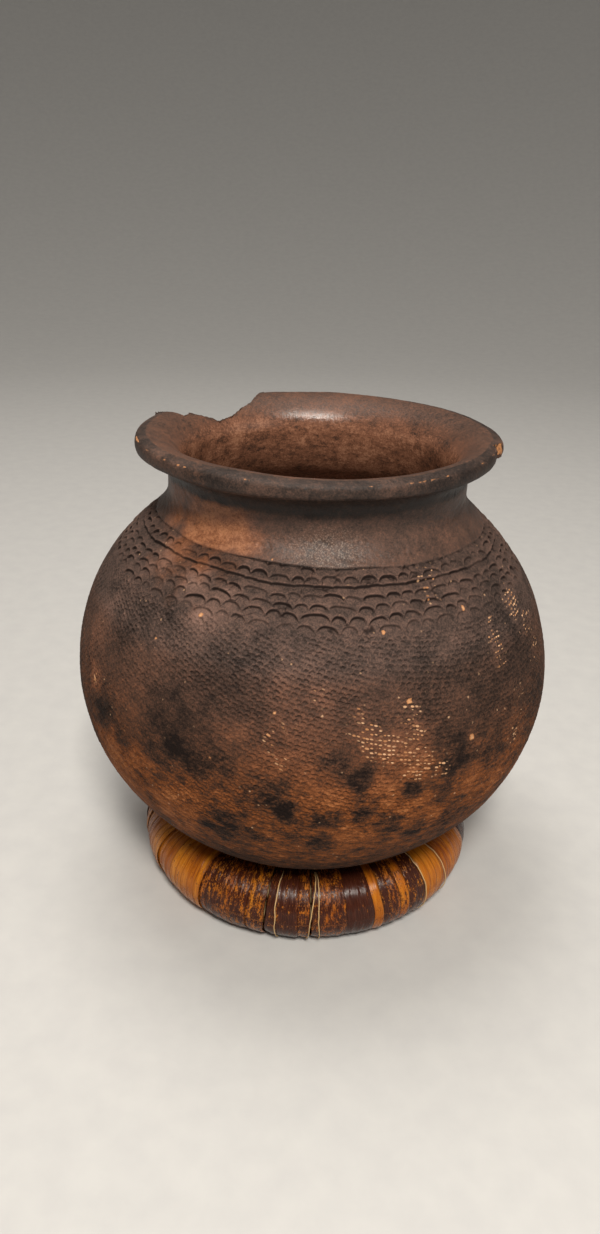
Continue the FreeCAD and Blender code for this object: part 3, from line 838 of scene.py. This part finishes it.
def make_strand(number, node, material):
    """One hoop of twisted leaf, on the centre line and thickness of its CAD hoop."""
    low, high = box_of(node)
    thickness = (high[2] - low[2]) / 2
    ring = (high[0] - low[0]) / 2 - thickness
    angle = full_turn(300)
    level = np.full(angle.shape, (low[2] + high[2]) / 2)
    path = np.stack([ring * np.cos(angle), ring * np.sin(angle), level], 1)
    return rope(f"leaf_strand_{number}", path, thickness, 3, 30, material)


def make_tie(number, node, material):
    """One turn of cord round the bundle, on the centre line of its CAD hoop."""
    first, last = azimuth_span(node)
    azimuth = (first + last) / 2
    low, high = box_of(node)
    outer = (high[2] - low[2]) / 2
    angle = full_turn(150)
    path = tube_point(np.full(angle.shape, azimuth), angle, outer - TIE_RADIUS)
    return rope(f"tie_cord_{number}", path, TIE_RADIUS, 2, 36, material, sides=12)


def make_fibre(number, node, material):
    """A pale fibre caught on the outside of the strips; each leg leans its own way down the ring."""
    first, last = azimuth_span(node)
    azimuth = (first + last) / 2
    around = np.radians(np.linspace(-78, 88, 75))
    way = np.stack([around * 20, np.full(around.shape, 17.0 * number), around * 0], -1)
    stray = (1.1 * noise(way, 13.0, 401) + 0.3 * noise(way, 4.0, 402)) / RING_RADIUS
    runs = []
    for index, (top, foot) in enumerate(FIBRE_LEGS[number - 1]):
        lean = np.radians(np.linspace(foot, top, len(around)))
        points = tube_point(azimuth + lean + stray, around, np.full(around.shape, FIBRE_REACH))
        runs.append(points if index % 2 == 0 else points[::-1])
    path = press(np.concatenate(runs), FIBRE_GAP)
    name = f"pale_fibre_{number}"
    return rope(name, path, FIBRE_RADIUS, 2, 9, material, closed=False, sides=8, taper=0.6)


def make_ring_stand(bark, leaf, cord, bast):
    """Every piece of the ring stand, each in place of its CAD node."""
    kinds = [
        ("wrap_strip_{:02d}", len(BARK_DARKNESS), make_strip, bark),
        ("core_strand_{}", STRAND_COUNT, make_strand, leaf),
        ("core_tie_{}", TIE_COUNT, make_tie, cord),
        ("bast_fibre_{}", len(FIBRE_LEGS), make_fibre, bast),
    ]
    for pattern, count, make, material in kinds:
        for number in range(1, count + 1):
            node = pattern.format(number)
            add_piece(make(number, node, material), "ring_stand", node)


# ---- Materials ----

# The first colour is both the soot's colour and that of the painted shade in the creases.
SOOT_AND_SHADE_BLACK = (0.011, 0.007, 0.006)
CHARCOAL = (0.032, 0.019, 0.014)
DUSTY_BROWN = (0.078, 0.038, 0.024)
CLAY_BROWN = (0.125, 0.052, 0.028)
CLAY_ORANGE = (0.205, 0.084, 0.044)
CLAY_BRIGHT = (0.340, 0.158, 0.085)
FRESH_CLAY = (0.42, 0.19, 0.08)
PALE_CLAY = (0.62, 0.38, 0.22)
PALE_HIGHLIGHT = (0.27, 0.21, 0.165)

BARK_GOLD = (0.37, 0.108, 0.006)
BARK_PALE = (0.52, 0.190, 0.015)
BARK_AMBER = (0.20, 0.044, 0.004)
BARK_MAROON = (0.065, 0.015, 0.006)
BARK_BLACK = (0.018, 0.006, 0.004)
PAPER_SHADE = (0.48, 0.48, 0.475)
PAPER_LIGHT = (0.51, 0.51, 0.50)
# Light colour (painted light on the plies' crowns), dark colour (painted shade between them) and roughness
# of each twisted fibre.
FIBRES = {
    "dry_leaf": ((0.36, 0.25, 0.12), (0.10, 0.06, 0.03), 0.75),
    "tie_cord": ((0.50, 0.38, 0.22), (0.16, 0.10, 0.05), 0.8),
    "pale_bast": ((0.62, 0.42, 0.20), (0.40, 0.22, 0.08), 0.5),
}


class Nodes:
    """Short names for building a material's node tree."""

    def __init__(self, name):
        self.material = bpy.data.materials.new(name)
        self.material.use_nodes = True
        self.tree = self.material.node_tree
        self.shader = self.tree.nodes["Principled BSDF"]

    def add(self, kind, inputs=None, **settings):
        node = self.tree.nodes.new(kind)
        for key, value in settings.items():
            setattr(node, key, value)
        for key, value in (inputs or {}).items():
            self.feed(value, node.inputs[key])
        return node

    def feed(self, value, socket):
        if isinstance(value, bpy.types.NodeSocket):
            self.tree.links.new(value, socket)
        else:
            socket.default_value = value

    def attribute(self, name, output="Fac"):
        return self.add("ShaderNodeAttribute", attribute_name=name).outputs[output]

    def noise(self, vector, scale, detail=3.0, roughness=0.55):
        node = self.add("ShaderNodeTexNoise", {"Scale": scale, "Detail": detail, "Roughness": roughness})
        self.feed(vector, node.inputs["Vector"])
        return node.outputs["Fac"]

    def math(self, operation, first, second, clamp=False):
        node = self.add("ShaderNodeMath", operation=operation, use_clamp=clamp)
        self.feed(first, node.inputs[0])
        self.feed(second, node.inputs[1])
        return node.outputs[0]

    def plus(self, first, second, clamp=False):
        return self.math("ADD", first, second, clamp)

    def times(self, first, second):
        return self.math("MULTIPLY", first, second)

    def vector(self, operation, first, second=None):
        node = self.add("ShaderNodeVectorMath", operation=operation)
        self.feed(first, node.inputs[0])
        if second is not None:
            self.feed(second, node.inputs[1])
        return node.outputs["Value" if operation == "LENGTH" else "Vector"]

    def span(self, value, low, high, to_low=0.0, to_high=1.0):
        inputs = {"Value": value, "From Min": low, "From Max": high, "To Min": to_low, "To Max": to_high}
        return self.add("ShaderNodeMapRange", inputs).outputs["Result"]

    def ramp(self, value, stops):
        node = self.add("ShaderNodeValToRGB", {"Fac": value})
        elements = node.color_ramp.elements
        elements[0].position, elements[0].color = stops[0][0], (*stops[0][1], 1)
        elements[1].position, elements[1].color = stops[-1][0], (*stops[-1][1], 1)
        for position, colour in stops[1:-1]:
            elements.new(position).color = (*colour, 1)
        return node.outputs["Color"]

    def mix(self, share, first, second):
        node = self.add("ShaderNodeMix", data_type="RGBA")
        self.feed(share, node.inputs["Factor"])
        for socket, value in zip((node.inputs[6], node.inputs[7]), (first, second)):
            self.feed(value if isinstance(value, bpy.types.NodeSocket) else (*value, 1), socket)
        return node.outputs[2]

    def stretch(self, vector, scale):
        return self.add("ShaderNodeMapping", {"Vector": vector, "Scale": scale}).outputs["Vector"]

    def bump(self, height, strength, distance):
        inputs = {"Height": height, "Strength": strength, "Distance": distance}
        return self.add("ShaderNodeBump", inputs).outputs["Normal"]

    def finish(self, colour, roughness, normal, specular=0.5):
        self.feed(colour, self.shader.inputs["Base Color"])
        self.feed(roughness, self.shader.inputs["Roughness"])
        self.feed(normal, self.shader.inputs["Normal"])
        self.feed(specular, self.shader.inputs["Specular IOR Level"])
        return self.material


def worn_flecks(n):
    """Small bright dots, about one on each high point of the cord marks, and their brightness."""
    uv = n.add("ShaderNodeUVMap", uv_map="OFBake").outputs["UV"]
    turn = n.add("ShaderNodeSeparateXYZ", {"Vector": uv}).outputs["X"]
    column = n.times(turn, 2 * math.pi * BELLY_RADIUS / FLECK_WIDTH)
    row = n.times(n.attribute("cord_row"), CORD_PITCH / FLECK_PITCH)
    grid = n.add("ShaderNodeCombineXYZ", {"X": column, "Y": row}).outputs["Vector"]
    inputs = {"Vector": grid, "Scale": 1.0, "Randomness": 0.4}
    dots = n.add("ShaderNodeTexVoronoi", inputs, voronoi_dimensions="2D")
    chance = n.add("ShaderNodeSeparateColor", {"Color": dots.outputs["Color"]})
    patch = n.attribute("flecks")
    shown = n.span(n.math("SUBTRACT", patch, chance.outputs["Red"]), 0.0, 0.35)
    away = n.vector("SUBTRACT", grid, dots.outputs["Position"])
    away = n.vector("MULTIPLY", away, (FLECK_WIDTH, 2.0 * FLECK_PITCH, 0.0))
    size = n.times(n.plus(chance.outputs["Green"], 0.6), 0.68)
    dot = n.span(n.math("SUBTRACT", size, n.vector("LENGTH", away)), -0.25, 0.2)
    dot = n.times(n.times(dot, shown), n.span(patch, 0.0, 0.35))
    return dot, chance.outputs["Blue"]


def fired_colour(n, upright, blotch, mottle, grit):
    """Soot to bright orange, from how the clay is fired and the light and shade painted into it, broken up
    by noise of four sizes.
    """
    flaky = n.attribute("flaky")
    mixed = n.plus(n.span(blotch, 0.25, 0.75, -0.15, 0.15), n.span(mottle, 0.25, 0.75, -0.22, 0.22))
    mixed = n.plus(mixed, n.span(grit, 0.2, 0.8, -0.24, 0.24))
    mixed = n.times(mixed, n.span(flaky, 0.0, 0.8, 0.65, 0.9))
    flake = n.noise(n.stretch(upright, (0.55, 0.55, 1.0)), 193.0, 8.0, 0.72)
    grain = n.noise(n.stretch(upright, (0.35, 0.35, 1.0)), 720.0, 4.0, 0.65)
    residue = n.plus(n.span(flake, 0.50, 0.55, 0.05, -0.15), n.span(grain, 0.3, 0.7, -0.16, 0.16))
    fired = n.plus(n.attribute("fired"), mixed)
    fired = n.plus(fired, n.times(flaky, residue), clamp=True)
    stops = [
        (0.10, SOOT_AND_SHADE_BLACK), (0.27, CHARCOAL), (0.43, DUSTY_BROWN), (0.56, CLAY_BROWN),
        (0.74, CLAY_ORANGE), (0.98, CLAY_BRIGHT),
    ]
    saturation = n.span(n.attribute("ashen"), 0.0, 1.5, 1.15, 0.68)
    inputs = {"Color": n.ramp(fired, stops), "Saturation": saturation}
    return n.add("ShaderNodeHueSaturation", inputs).outputs["Color"]


def pale_crumbs(n, here, blotch, mottle, gloss):
    """Where small pale crumbs of clay show: a few, in patches, and none where the clay is smooth."""
    crumbs = n.add("ShaderNodeTexVoronoi", {"Vector": here, "Scale": 260.0})
    rare = n.add("ShaderNodeSeparateColor", {"Color": crumbs.outputs["Color"]}).outputs["Red"]
    crumb = n.times(n.span(crumbs.outputs["Distance"], 0.20, 0.10), n.span(rare, 0.84, 0.86))
    crumb = n.times(crumb, n.span(blotch, 0.46, 0.56, 0.0, 0.75))
    crumb = n.times(crumb, n.span(gloss, 0.0, 0.1, 1.0, 0.0))
    return n.times(crumb, n.span(mottle, 0.4, 0.5))


def clay_material():
    """Smoke-clouded earthenware: matt and gritty outside, smoother on the neck, glossy in the mouth."""
    n = Nodes("smoked_clay")
    upright = n.add("ShaderNodeTexCoord").outputs["Object"]
    here = n.add("ShaderNodeMapping", {"Vector": upright, "Rotation": NOISE_TURN}).outputs["Vector"]
    blotch = n.noise(here, 95.0, 7.0, 0.68)
    mottle = n.noise(here, 480.0, 5.0, 0.75)
    grit = n.noise(here, 1250.0, 3.0, 0.6)
    gloss = n.attribute("gloss")
    colour = fired_colour(n, upright, blotch, mottle, grit)
    # Painted shade, nearly black, in the creases of the marks.
    colour = n.mix(n.span(n.attribute("crease"), 0.15, 0.85, 0.0, 0.95), colour, SOOT_AND_SHADE_BLACK)
    # Painted highlight: pale specks on the front of the neck, where its sheen falls.
    speck_highlight = n.times(n.attribute("pale"), n.span(grit, 0.52, 0.66, 0.0, 0.6))
    colour = n.mix(speck_highlight, colour, PALE_HIGHLIGHT)
    colour = n.mix(pale_crumbs(n, here, blotch, mottle, gloss), colour, PALE_CLAY)
    # Bright worn clay; along the lip's edge it is also a painted highlight.
    ragged = n.plus(n.attribute("worn"), n.span(mottle, 0.3, 0.7, -0.22, 0.22))
    bare = n.mix(n.span(ragged, 0.75, 1.25), FRESH_CLAY, PALE_CLAY)
    colour = n.mix(n.span(ragged, 0.30, 0.60), colour, bare)
    flecks, brightness = worn_flecks(n)
    colour = n.mix(flecks, colour, n.mix(brightness, FRESH_CLAY, PALE_CLAY))
    roughness = n.plus(n.span(gloss, 0.0, 1.0, 0.66, 0.17), n.span(mottle, 0.3, 0.7, -0.08, 0.08))
    relief = n.plus(n.times(grit, 0.5), mottle)
    normal = n.bump(relief, n.span(gloss, 0.0, 0.8, 0.65, 0.26), 0.0006)
    return n.finish(colour, roughness, normal, n.span(gloss, 0.0, 0.8, 0.07, 0.5))


def bark_material():
    """Dried, glossy bark: gold with fine fibres, and dark maroon skin left on it in patches."""
    n = Nodes("dry_bark")
    grain = n.attribute("grain", "Vector")
    darkness = n.attribute("darkness")
    streak = n.noise(n.stretch(grain, (0.60, 0.045, 1.0)), 1.0, 4.0, 0.6)
    thread = n.noise(n.stretch(grain, (3.2, 0.11, 1.0)), 1.0, 3.0, 0.6)
    patch = n.noise(n.stretch(grain, (0.42, 0.15, 1.0)), 1.0, 5.0, 0.72)
    speck = n.noise(n.stretch(grain, (1.7, 0.8, 1.0)), 1.0, 3.0, 0.7)
    tone = n.noise(n.stretch(grain, (0.05, 0.03, 1.0)), 1.0, 2.0)
    fibres = n.plus(n.times(streak, 0.65), n.times(thread, 0.35))
    fibres = n.plus(fibres, n.span(tone, 0.3, 0.7, -0.10, 0.08))
    fibres = n.plus(fibres, n.times(n.attribute("tone"), 0.18))
    gold = n.ramp(fibres, [(0.30, BARK_AMBER), (0.50, BARK_GOLD), (0.70, BARK_PALE)])
    dark = n.ramp(thread, [(0.30, BARK_BLACK), (0.70, BARK_MAROON)])
    cover = n.plus(n.times(patch, 0.62), n.times(speck, 0.38))
    threshold = n.span(darkness, 0.0, 1.0, 0.665, 0.345)
    mask = n.span(n.math("SUBTRACT", cover, threshold), -0.035, 0.035)
    colour = n.mix(mask, gold, dark)
    edge = n.span(n.attribute("border"), 0.15, 1.3, 0.65, 0.0)
    colour = n.mix(n.times(edge, n.span(speck, 0.35, 0.6)), colour, BARK_MAROON)
    seam = n.times(n.attribute("split"), n.span(streak, 0.36, 0.58, 0.1, 0.9))
    colour = n.mix(n.times(seam, n.math("SUBTRACT", 1.0, mask)), colour, BARK_MAROON)
    roughness = n.plus(n.span(thread, 0.3, 0.7, 0.18, 0.36), n.times(mask, -0.03))
    relief = n.plus(thread, n.times(mask, 0.5))
    normal = n.bump(relief, 0.40, 0.00035)
    return n.finish(colour, roughness, normal, 0.22)


def fibre_material(name, light, dark, roughness):
    """Dry twisted fibre: painted light on the ply's crown and painted shade between the plies, with fine
    hairs.
    """
    n = Nodes(name)
    grain = n.attribute("grain", "Vector")
    hairs = n.noise(n.stretch(grain, (4.0, 0.5, 1.0)), 1.0, 3.0, 0.6)
    # Painted light and shade that follow the plies' bulge.
    crown = n.plus(n.times(n.attribute("bulge"), 0.7), n.times(hairs, 0.5))
    colour = n.ramp(crown, [(0.25, dark), (0.85, light)])
    return n.finish(colour, roughness, n.bump(hairs, 0.5, 0.0004), 0.3)


def floor_material():
    """Plain pale paper with the faintest tooth."""
    n = Nodes("pale_floor")
    here = n.add("ShaderNodeTexCoord").outputs["Object"]
    tooth = n.noise(here, 60.0)
    colour = n.ramp(tooth, [(0.3, PAPER_SHADE), (0.7, PAPER_LIGHT)])
    return n.finish(colour, 0.85, n.bump(tooth, 0.05, 0.0005), 0.2)


# ---- Stage, light and camera ----


def make_stage():
    """A pale floor that curves up far away on every side."""
    flat, bend, far, rings, sides = 1.7, 2.6, 7.0, 24, 72
    turns = full_turn(sides)
    points = [(0, 0, 0)]
    for reach in np.linspace(flat, far, rings):
        height = (reach - flat) ** 2 / (2 * bend)
        points += [(reach * math.cos(turn), reach * math.sin(turn), height) for turn in turns]
    faces = [(0, 1 + k, 1 + (k + 1) % sides) for k in range(sides)]
    for first in range(1, 1 + (rings - 1) * sides, sides):
        for k in range(sides):
            after = (k + 1) % sides
            faces.append((first + k, first + sides + k, first + sides + after, first + after))
    mesh = bpy.data.meshes.new("floor_sheet")
    mesh.from_pydata(points, [], faces)
    mesh.shade_smooth()
    mesh.materials.append(floor_material())
    add_object("floor_sheet", mesh)


def add_light(name, place, aim, size, power, colour):
    """A square soft light that points at a place."""
    light = bpy.data.lights.new(name, "AREA")
    light.size = size
    light.energy = power
    light.color = colour
    item = add_object(name, light)
    item.location = place
    item.rotation_euler = (Vector(aim) - Vector(place)).to_track_quat("-Z", "Y").to_euler()


def make_lights():
    """Soft warm light from in front and above, and a weak fill all round."""
    middle = (0, 0, 0.16)
    warm = (1.0, 0.94, 0.87)
    add_light("key", (0.12, -1.15, 1.5), middle, 0.36, 36.0, (1.0, 0.94, 0.86))
    add_light("top", (-0.2, 0.3, 1.9), middle, 0.9, 20.0, warm)
    add_light("fill", (1.5, -0.9, 0.7), middle, 1.2, 3.0, warm)
    world = bpy.data.worlds.new("studio")
    world.use_nodes = True
    background = world.node_tree.nodes["Background"]
    background.inputs["Color"].default_value = (*warm, 1)
    background.inputs["Strength"].default_value = 0.28
    bpy.context.scene.world = world


def make_camera():
    """A hand-held view from in front and above, turned a little about its own line of sight."""
    distance = CAMERA_DISTANCE * BELLY_RADIUS * MM
    height = (BELLY_CENTRE + CAMERA_RISE * BELLY_RADIUS) * MM
    right = Vector((math.cos(CAMERA_PAN), -math.sin(CAMERA_PAN), 0))
    level = Vector((math.sin(CAMERA_PAN), math.cos(CAMERA_PAN), 0))
    ahead = math.cos(CAMERA_TIP) * level - math.sin(CAMERA_TIP) * Vector((0, 0, 1))
    up = right.cross(ahead)
    turned_right = math.cos(CAMERA_ROLL) * right + math.sin(CAMERA_ROLL) * up
    turned_up = math.cos(CAMERA_ROLL) * up - math.sin(CAMERA_ROLL) * right
    data = bpy.data.cameras.new("camera")
    data.lens = CAMERA_LENS
    data.sensor_width = 36.0
    data.clip_start = 0.01
    camera = add_object("camera", data)
    turn = Matrix((turned_right, turned_up, -ahead)).transposed()
    camera.matrix_world = Matrix.Translation((0, -distance, height)) @ turn.to_4x4()
    bpy.context.scene.camera = camera


# ---- Build ----

add_piece(make_pot(clay_material()), "pot", "pot")
make_ring_stand(bark_material(), *(fibre_material(name, *looks) for name, looks in FIBRES.items()))
make_stage()
make_lights()
make_camera()
bpy.context.scene.view_settings.view_transform = "Standard"
